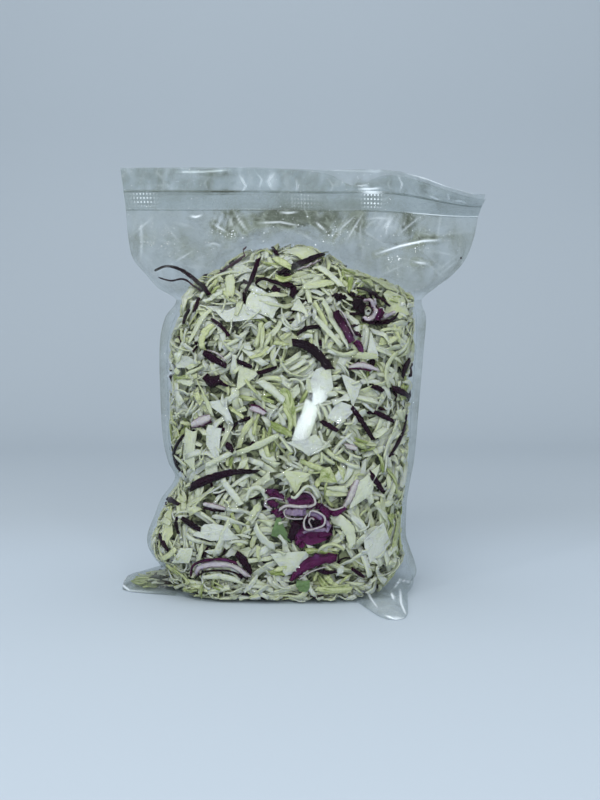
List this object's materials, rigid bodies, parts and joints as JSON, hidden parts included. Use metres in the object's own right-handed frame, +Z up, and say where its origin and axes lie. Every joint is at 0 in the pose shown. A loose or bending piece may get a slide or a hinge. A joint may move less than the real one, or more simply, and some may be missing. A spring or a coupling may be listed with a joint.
{
  "type": "bag of coleslaw mix",
  "caption": "Clear press-to-close bag packed with shredded white, green and red cabbage, standing on its flattened base, with an empty header, a zip band and a loose lip above it.",
  "frame": {"origin": "bottom centre of the bounding box, on the surface that the bag stands on", "axes": "+Z up from the base to the lip, +X across the zip to the bag's right as seen from the front, the front faces -Y"},
  "size_m": [0.249, 0.1406, 0.292],
  "materials": {
    "packed_slaw": "pale green shreds pressed against clear film",
    "clear_film": "clear glossy film, creased",
    "white_cabbage": "moist, pale cream to pale green",
    "green_cabbage": "moist leaf green",
    "red_cabbage": "moist dark purple"
  },
  "bodies": {
    "root": {"bag": "packed_slaw"}
  },
  "joints": []
}
